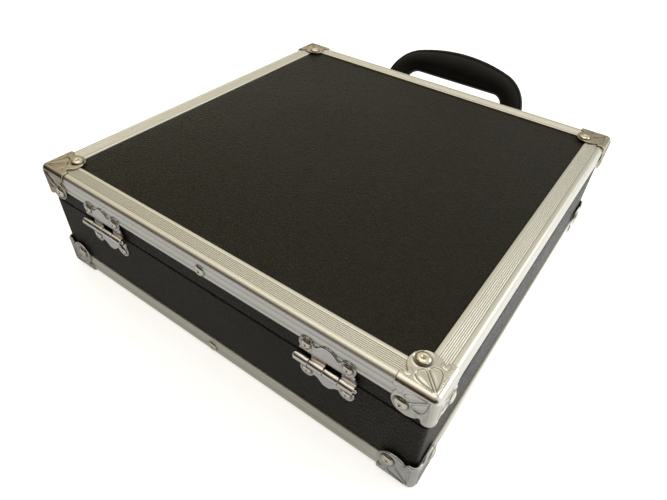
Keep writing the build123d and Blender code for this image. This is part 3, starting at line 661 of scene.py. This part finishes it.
def hinge_leaf(side, prefix, up):
    """Pressed leaf with its rolled knuckles."""
    node = f"hinge_{side}_{prefix}_leaf"
    pin_low, pin_high = (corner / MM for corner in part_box(f"hinge_{side}_pin"))
    axis_y = (pin_low.y + pin_high.y) / 2
    axis_z = (pin_low.z + pin_high.z) / 2
    barrel_low = pin_low.x + 1.3
    barrel_high = pin_high.x - 1.0
    middle = (barrel_low + barrel_high) / 2
    back = TRIM_HALF + CASE_Y if prefix == "lid" else BASE_BACK
    foot = 5.2 if prefix == "lid" else 3.4
    outline = leaf_outline(foot)
    step = 0.28
    xs, ws = np.meshgrid(np.arange(-17.4, 17.5, step), np.arange(foot, 17.0, step))
    keep = inside_distance(xs, ws, outline) > 0.15
    free = list(zip(xs[keep], ws[keep]))
    count = len(outline)
    found = geometry.delaunay_2d_cdt(
        [Vector(p) for p in outline + free], [], [list(range(count))], 1, 1e-5)
    flat = np.array([(p.x, p.y) for p in found[0]])
    height, hollow = leaf_relief(flat[:, 0], flat[:, 1], outline)
    thick = 1.0

    def at(x, w, y):
        return ((middle + x) * MM, (back + y) * MM, (axis_z + up * w) * MM)

    leaf = Builder()
    skin = [at(x, w, thick + h) for (x, w), h in zip(flat, height)]
    leaf.add(skin, [list(f) for f in found[2]], list(hollow))
    edge_x, edge_w = (np.array(values) for values in zip(*outline))
    edge_height, _ = leaf_relief(edge_x, edge_w, outline)
    rim = [at(x, w, thick + h) for (x, w), h in zip(outline, edge_height)]
    ground = [at(x, w, 0.02) for x, w in outline]
    # Painted shade on the leaf's edge walls.
    leaf.add(rim + ground, ring_faces(2, count, close_rows=False), [0.85] * (2 * count))
    leaf.add(ground, [list(range(count))])
    pitch = (barrel_high - barrel_low + 0.4) / 4
    for index in range(0 if prefix == "lid" else 1, 4, 2):
        start = barrel_low + index * pitch
        end = start + pitch - 0.4
        span = end - start
        ring = [(2.0, 0.0), (2.45, 0.02), (2.65, 0.22), (2.69, 0.5), (2.69, span - 0.5), (2.65, span - 0.22),
                (2.45, span - 0.02), (2.0, span), (1.35, span)]
        leaf.lathe([(1.35 * MM, 0.0)] + [(a * MM, b * MM) for a, b in ring],
                   Vector((start, axis_y, axis_z)) * MM, (1, 0, 0), 40)
        front = back + thick
        strap = [(0.1, foot + 0.6), (thick, foot + 0.6), (thick, foot - 0.4), (thick + 0.25, 2.4),
                 (axis_y - back + 0.4, 2.6), (axis_y - back - 1.0, 0.6), (0.1, 0.8)]
        curl = [(y, w) for y, w in strap if back + y <= front + 4.0]
        leaf.prism(
            curl,
            lambda y, w: ((start + 0.12) * MM, (back + y) * MM, (axis_z + up * w) * MM),
            lambda y, w: ((end - 0.12) * MM, (back + y) * MM, (axis_z + up * w) * MM),
        )
    new_piece(f"{node}_pressing", leaf.verts, leaf.faces, HINGE_STEEL, prefix, [node],
              crease=52.0, hollow=leaf.hollow)


def hinge_pin(side):
    """Pin with a domed head; its tail is peened."""
    node = f"hinge_{side}_pin"
    low, high = (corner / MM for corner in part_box(node))
    span = high.x - low.x
    profile = [(0.0, 0.0), (0.5, 0.04), (0.95, 0.22), (1.18, 0.6), (1.2, 1.0), (1.2, span - 1.0),
               (1.95, span - 0.98), (2.0, span - 0.75), (1.85, span - 0.4), (1.35, span - 0.12),
               (0.7, span - 0.02), (0.0, span)]
    pin = Builder()
    origin = Vector((low.x, (low.y + high.y) / 2, (low.z + high.z) / 2))
    pin.lathe([(a * MM, b * MM) for a, b in profile], origin * MM, (1, 0, 0), 36)
    new_piece(f"{node}_turned", pin.verts, pin.faces, FASTENER_STEEL, "base", [node],
              crease=50.0)


for side in ("right", "left"):
    hinge_leaf(side, "lid", 1)
    hinge_leaf(side, "base", -1)
    hinge_pin(side)


# ---------------------------------------------------------------- carrying handle
def handle():
    """Crowned grip swept along its own U, with a rim round its outer edge, slotted for the lugs."""
    pins_low, pins_high = (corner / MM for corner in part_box("handle_pins"))
    pivot = Vector((0.0, (pins_low.y + pins_high.y) / 2, (pins_low.z + pins_high.z) / 2))
    tilt = math.radians(57.0)
    reach_axis = Vector((0.0, -math.cos(tilt), math.sin(tilt)))
    out_axis = Vector((0.0, -math.sin(tilt), -math.cos(tilt)))
    half, reach, corner, crown, arm, grip, inner = 69.0, 66.0, 36.0, 150.0, 21.0, 26.0, 10.0
    lug_x = 58.5
    hole = half - arm
    crown_w = reach - crown
    straight = crown_w + math.sqrt((crown - corner) ** 2 - (half - corner) ** 2)
    meet = math.degrees(math.atan2(straight - crown_w, corner - half))
    pairs = [((-half, w), (-hole, w)) for w in (-6.45, -6.1, -5.4, -4.2, -2.2, 0.0)]
    for k in range(1, 9):
        pairs.append(((-half, straight * k / 8), (-hole, (reach - grip - inner) * k / 8)))
    outer_arc = arc((corner - half, straight), corner, 180.0, meet, 22)[1:]
    inner_arc = arc((inner - hole, reach - grip - inner), inner, 180.0, 90.0, 22)[1:]
    pairs += list(zip(outer_arc, inner_arc))
    crown_arc = arc((0.0, crown_w), crown, meet, 90.0, 14)[1:]
    pairs += [(point, ((inner - hole) * (1 - k / 14), reach - grip)) for k, point in enumerate(crown_arc, 1)]
    pairs += [((-a[0], a[1]), (-b[0], b[1])) for a, b in reversed(pairs[:-1])]
    face = [(0.0, 0.0), (0.012, 0.3), (0.03, 0.46), (0.065, 0.56), (0.105, 0.6), (0.125, 0.585),
            (0.145, 0.64), (0.18, 0.74), (0.25, 0.85), (0.36, 0.95), (0.5, 1.0), (0.64, 0.98),
            (0.77, 0.89), (0.87, 0.75), (0.94, 0.56), (0.98, 0.34), (1.0, 0.0)]
    section = face + [(s, -t) for s, t in reversed(face[1:-1])]
    verts = []
    for outer, inside in pairs:
        low_w = min(outer[1], inside[1])
        thick = 6.45 if low_w >= 0 else math.sqrt(max(6.48 ** 2 - low_w ** 2, 0.04))
        thick -= 0.35 * ease(np.array((low_w - 4.0) / 20.0)) * (1 - ease(np.array((low_w - 30.0) / 20.0)))
        for share, lift in section:
            across = outer[0] + (inside[0] - outer[0]) * share
            along = outer[1] + (inside[1] - outer[1]) * share
            square = 1.0 if low_w > 3.0 else 0.35 + 0.65 * max(low_w + 6.5, 0.0) / 9.5
            rise = math.copysign(abs(lift) ** (0.45 + 0.55 * square), lift) if lift else 0.0
            flat_point = pivot + Vector((across, 0, 0)) + reach_axis * along
            verts.append((flat_point + out_axis * rise * float(thick)) * MM)
    count = len(section)
    faces = ring_faces(len(pairs), count, close_rows=False)
    faces += [list(range(count)), list(range((len(pairs) - 1) * count, len(pairs) * count))]
    body = new_mesh("handle_body", verts, faces, 40.0)
    for side in (1, -1):
        cutter_mesh = bpy.data.meshes.new("slot")
        work = bmesh.new()
        bmesh.ops.create_cube(work, size=1.0)
        turn = Matrix((Vector((1, 0, 0)), reach_axis, out_axis)).transposed().to_4x4()
        place = Matrix.Translation((pivot + Vector((side * lug_x, 0, 0)) + reach_axis * 1.0) * MM)
        size = Matrix.Diagonal((8.0 * MM, 16.0 * MM, 26.0 * MM, 1.0))
        bmesh.ops.transform(work, matrix=place @ turn @ size, verts=work.verts)
        work.to_mesh(cutter_mesh)
        work.free()
        cutter = bpy.data.objects.new("slot", cutter_mesh)
        blank = bpy.data.objects.new("blank", body)
        for made in (cutter, blank):
            bpy.context.scene.collection.objects.link(made)
        cut = blank.modifiers.new("slot", "BOOLEAN")
        cut.object = cutter
        cut.operation = "DIFFERENCE"
        cut.solver = "EXACT"
        bpy.context.view_layer.update()
        body = bpy.data.meshes.new_from_object(blank.evaluated_get(bpy.context.evaluated_depsgraph_get()))
        bpy.data.objects.remove(cutter)
        bpy.data.objects.remove(blank)
    body.shade_smooth()
    body.set_sharp_from_angle(angle=math.radians(40.0))
    grip_piece = bpy.data.objects.new("handle_grip_moulding", body)
    bpy.context.scene.collection.objects.link(grip_piece)
    body.materials.clear()
    body.materials.append(HANDLE_BLACK)
    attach(grip_piece, "handle")
    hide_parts("handle_grip")


handle()


# ---------------------------------------------------------------- lid pad
def lid_pad():
    """Foam pad under stretched cloth: blown up a little from a flat board, held all round its back."""
    low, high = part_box("lid_pad")
    size = (high - low) / MM
    middle = (low + high) / 2 / MM
    half = size.x / 2 - 1.2
    cells = 44
    drop = size.z - 2.6
    work = bmesh.new()
    bmesh.ops.create_grid(work, x_segments=cells, y_segments=cells, size=half * MM)
    grown = bmesh.ops.extrude_face_region(work, geom=list(work.faces))
    moved = [item for item in grown["geom"] if isinstance(item, bmesh.types.BMVert)]
    bmesh.ops.translate(work, verts=moved, vec=(0, 0, -drop * MM))
    bmesh.ops.recalc_face_normals(work, faces=work.faces)
    bmesh.ops.translate(work, verts=work.verts, vec=(middle.x * MM, middle.y * MM, (high.z / MM - 0.3) * MM))
    mesh = bpy.data.meshes.new("lid_pad_cloth")
    work.to_mesh(mesh)
    work.free()
    pad = bpy.data.objects.new("lid_pad_cloth", mesh)
    bpy.context.scene.collection.objects.link(pad)
    start = np.array([v.co for v in mesh.vertices])
    held = pad.vertex_groups.new(name="held")
    top = start[:, 2].max()
    held.add([i for i, z in enumerate(start[:, 2]) if z > top - 1e-5], 1.0, "REPLACE")
    cloth = pad.modifiers.new("Cloth", "CLOTH")
    cloth.settings.vertex_group_mass = "held"
    cloth.settings.use_pressure = True
    cloth.settings.uniform_pressure_force = 3.0
    cloth.settings.effector_weights.gravity = 0.0
    cloth.settings.tension_stiffness = 8.0
    cloth.settings.quality = 4
    cloth.collision_settings.use_collision = False
    scene = bpy.context.scene
    for step in range(1, 13):
        scene.frame_set(step)
    blown = bpy.data.meshes.new_from_object(pad.evaluated_get(bpy.context.evaluated_depsgraph_get()))
    end = np.array([v.co for v in blown.vertices])
    scene.frame_set(1)
    pad.modifiers.clear()
    move = end - start
    length = np.linalg.norm(move, axis=1, keepdims=True)
    move *= np.minimum(1.0, 1.9 * MM / np.maximum(length, 1e-9))
    start = start + move
    reach = np.maximum(np.abs(start[:, 0] - middle.x * MM), np.abs(start[:, 1] - middle.y * MM)) / (half * MM)
    below = start[:, 2] < (high.z / MM - 1.5) * MM
    rolled_edge = 2.2 * MM * ease((reach - 0.93) / 0.07) ** 2
    belly = 0.25 * MM * (1 - reach ** 2)
    start[:, 2] += np.where(below, rolled_edge - belly, 0.0)
    start = np.clip(start, np.array(low) + 0.1 * MM, np.array(high) - 0.02 * MM)
    mesh.vertices.foreach_set("co", start.reshape(-1))
    mesh.shade_smooth()
    soften = pad.modifiers.new("soften", "SUBSURF")
    soften.levels = soften.render_levels = 1
    mesh.materials.append(PAD_CLOTH)
    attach(pad, "lid")
    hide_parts("lid_pad")


lid_pad()


# ---------------------------------------------------------------- CAD nodes that keep their own shape
def finish_node(name, material, bevel=0.0, segments=3):
    """Gives a CAD node its material, and softens its sharp edges."""
    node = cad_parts[name]
    node.data.materials.clear()
    node.data.materials.append(material)
    if bevel:
        weld = node.modifiers.new("weld", "WELD")
        weld.merge_threshold = 1e-6
        soft = node.modifiers.new("edges", "BEVEL")
        soft.width = bevel * MM
        soft.segments = segments
        soft.limit_method = "ANGLE"
        soft.angle_limit = math.radians(40.0)
        soft.harden_normals = False
        soft.use_clamp_overlap = True


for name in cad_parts:
    if name.endswith("_board"):
        finish_node(name, BOARD)
    elif name.endswith("leatherette"):
        finish_node(name, LEATHER)
    elif name.startswith("latch_"):
        finish_node(name, LATCH_STEEL, 0.25)
    elif name in ("handle_bracket_right", "handle_bracket_left"):
        finish_node(name, LATCH_STEEL, 0.35)
    elif name in ("handle_pins", "base_foot_nails"):
        finish_node(name, FASTENER_STEEL, 0.2)
finish_node("base_liner", LINING, 0.45)
finish_node("chip_rack", FLOCK, 0.9, 4)
finish_node("card_tray", FLOCK, 0.9, 4)


# ---------------------------------------------------------------- studio
def area_light(name, place, target, size, power, colour):
    data = bpy.data.lights.new(name, "AREA")
    data.shape = "RECTANGLE"
    data.size, data.size_y = size
    data.energy = power
    data.color = colour
    light = bpy.data.objects.new(name, data)
    light.location = place
    light.rotation_mode = "QUATERNION"
    light.rotation_quaternion = (Vector(target) - Vector(place)).to_track_quat("-Z", "Y")
    bpy.context.scene.collection.objects.link(light)


def stage_sheet(name, level, material, **seen):
    """Large flat sheet of the studio; seen says which rays meet it."""
    mesh = bpy.data.meshes.new(name)
    work = bmesh.new()
    bmesh.ops.create_grid(work, x_segments=4, y_segments=4, size=9.0)
    bmesh.ops.translate(work, verts=work.verts, vec=(0, 0, level))
    work.to_mesh(mesh)
    work.free()
    sheet = bpy.data.objects.new(name, mesh)
    bpy.context.scene.collection.objects.link(sheet)
    mesh.materials.append(material)
    for key, value in seen.items():
        setattr(sheet, key, value)


def studio_floor():
    """White paper for the camera. The object is lit by, and mirrors, a dimmer sheet: brighter to -X."""
    paper = Surface("studio_paper", (0.9, 0.9, 0.9), Roughness=0.95, Specular_IOR_Level=0.1)
    paper.shader.inputs["Emission Color"].default_value = (1.0, 1.0, 1.0, 1.0)
    paper.shader.inputs["Emission Strength"].default_value = 0.62
    stage_sheet("studio_floor", 0.0, paper.material,
                visible_diffuse=False, visible_glossy=False, visible_shadow=False)
    card = Surface("studio_card", (0.0, 0.0, 0.0), Roughness=1.0, Specular_IOR_Level=0.0)
    where = card.node("ShaderNodeSeparateXYZ", Vector=card.place((1, 1, 1)))
    across = card.math("ADD", where.outputs["X"], where.outputs["Y"])
    share = card.remap(across, CASE_Y * MM + 0.05, CASE_Y * MM - 0.15, 0.0, 1.0)
    near = CASE_Y * MM + 0.148
    shade = card.remap(where.outputs["Y"], near, near + 0.07, 0.0, 1.0)
    tone = card.blend(shade, (0.37, 0.355, 0.315), (0.6, 0.6, 0.61))
    tone = card.blend(share, tone, (1.12, 1.11, 1.1))
    beside = card.remap(where.outputs["X"], -0.172, -0.15, 0.0, 1.0)
    far_share = card.remap(across, CASE_Y * MM - 0.03, CASE_Y * MM - 0.15, 0.0, 1.0)
    tone = card.blend(beside, tone, card.blend(far_share, tone, (1.7, 1.7, 1.7)))
    front = card.math(
        "MULTIPLY",
        card.remap(where.outputs["Y"], CASE_Y * MM - 0.13, CASE_Y * MM - 0.15, 0.0, 1.0),
        card.remap(where.outputs["X"], -0.15, -0.13, 0.0, 1.0),
    )
    tone = card.blend(front, tone, (0.6, 0.6, 0.6))
    card.drive(Emission_Color=tone, Emission_Strength=1.0)
    stage_sheet("studio_card", -0.0005, card.material, visible_camera=False, visible_shadow=False)


def studio_world():
    """White for the camera. For the object: a warm sky, and a dark wall behind the camera."""
    world = bpy.data.worlds.new("studio")
    bpy.context.scene.world = world
    world.use_nodes = True
    tree = world.node_tree
    tree.nodes.clear()

    def feed(socket, value):
        if isinstance(value, bpy.types.NodeSocket):
            tree.links.new(value, socket)
        else:
            socket.default_value = value

    def mix(factor, first, second):
        made = tree.nodes.new("ShaderNodeMix")
        made.data_type = "RGBA"
        for socket, value in ((made.inputs[0], factor), (made.inputs[6], first), (made.inputs[7], second)):
            feed(socket, value)
        return made.outputs[2]

    def remap(value, low, high, to_low, to_high):
        made = tree.nodes.new("ShaderNodeMapRange")
        for socket, number in zip(made.inputs, (value, low, high, to_low, to_high)):
            feed(socket, number)
        return made.outputs[0]

    split = tree.nodes.new("ShaderNodeSeparateXYZ")
    tree.links.new(tree.nodes.new("ShaderNodeTexCoord").outputs["Generated"], split.inputs[0])
    sky = mix(remap(split.outputs["Z"], 0.45, 0.65, 0.0, 1.0), (0.58, 0.57, 0.52, 1), (0.72, 0.68, 0.56, 1))
    sky = mix(remap(split.outputs["X"], 0.3, 0.62, 0.0, 1.0), sky, (0.87, 0.81, 0.65, 1))
    sky = mix(remap(split.outputs["X"], 0.8, 0.92, 0.0, 1.0), sky, (0.3, 0.25, 0.16, 1))
    sky = mix(remap(split.outputs["Z"], 0.0, 0.25, 1.0, 0.0), sky, (0.26, 0.24, 0.2, 1))
    sky = mix(remap(split.outputs["X"], -0.35, -0.75, 0.0, 1.0), sky, (1.0, 1.0, 0.96, 1))
    wall = mix(remap(split.outputs["Z"], 0.55, 0.8, 0.0, 1.0), (0.05, 0.028, 0.018, 1), (0.5, 0.45, 0.38, 1))
    sky = mix(remap(split.outputs["Y"], 0.15, 0.45, 0.0, 1.0), sky, wall)
    path = tree.nodes.new("ShaderNodeLightPath")
    surround = tree.nodes.new("ShaderNodeBackground")
    tree.links.new(mix(path.outputs["Is Camera Ray"], sky, (1.0, 1.0, 1.0, 1)), surround.inputs[0])
    out = tree.nodes.new("ShaderNodeOutputWorld")
    tree.links.new(surround.outputs[0], out.inputs[0])


def camera():
    """Looks down at about 42 degrees from above the back left corner."""
    focal_share = 0.7748126
    data = bpy.data.cameras.new("camera")
    data.sensor_width = 36.0
    data.lens = data.sensor_width * focal_share
    data.clip_start = 0.01
    data.clip_end = 50.0
    cam = bpy.data.objects.new("camera", data)
    right = Vector((-0.8107, -0.584, 0.0424)).normalized()
    forward = Vector((0.4125, -0.621, -0.6665)).normalized()
    up = right.cross(forward).normalized()
    right = forward.cross(up).normalized()
    turn = Matrix((right, up, -forward)).transposed().to_4x4()
    cam.matrix_world = Matrix.Translation(Vector((-173.2, 274.2 + CASE_Y, 277.3)) * MM) @ turn
    bpy.context.scene.collection.objects.link(cam)
    bpy.context.scene.camera = cam


studio_floor()
studio_world()
area_light("key", (-1.55, -1.35, 1.15), (0.0, 0.0, 0.05), (1.2, 1.0), 7.5, (1.0, 0.99, 0.97))
area_light("over", (0.2, 0.1, 2.3), (0.0, 0.0, 0.05), (2.0, 2.0), 9.0, (1.0, 0.96, 0.88))
camera()
bpy.context.scene.view_settings.view_transform = "Standard"
